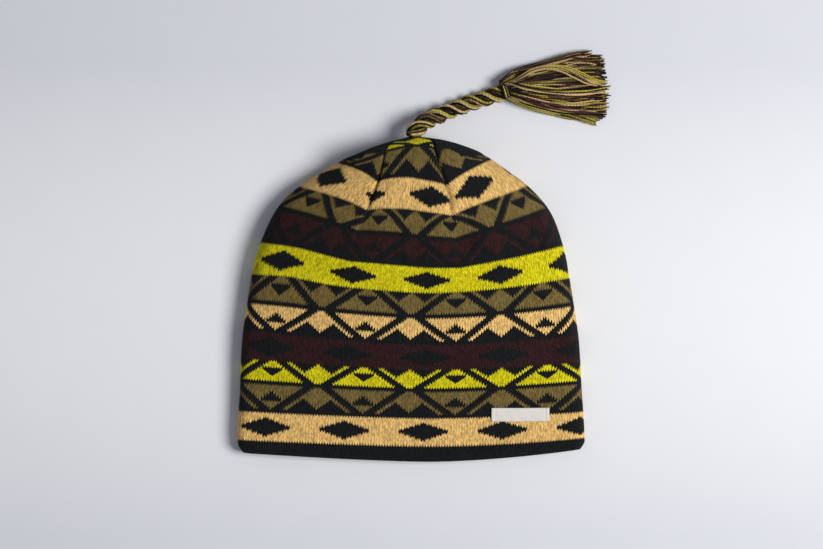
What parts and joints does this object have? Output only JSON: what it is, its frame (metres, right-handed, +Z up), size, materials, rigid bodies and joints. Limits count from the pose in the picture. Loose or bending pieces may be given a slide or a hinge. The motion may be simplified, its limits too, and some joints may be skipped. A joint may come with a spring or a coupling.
{
  "type": "tassel beanie",
  "caption": "Knitted beanie lying flat: hollow knitted shell open at the hem, darted crown, plaited cord with a tied tassel.",
  "frame": {"origin": "middle of the lying hat's underside, without the cord and tassel", "axes": "+X across the hat to the wearer's view right, +Y from the hem to the crown, +Z up from the surface it lies on"},
  "size_m": [0.2377, 0.2604, 0.0381],
  "materials": {
    "knit": "fine jersey knit in five yarn colours",
    "label_tape": "plain woven tape",
    "yarn": "soft plied yarn"
  },
  "bodies": {
    "root": {"knit_shell": "knit", "woven_label": "label_tape", "braid_cord": "yarn", "tassel_tie": "yarn", "tassel": "yarn"}
  },
  "joints": []
}
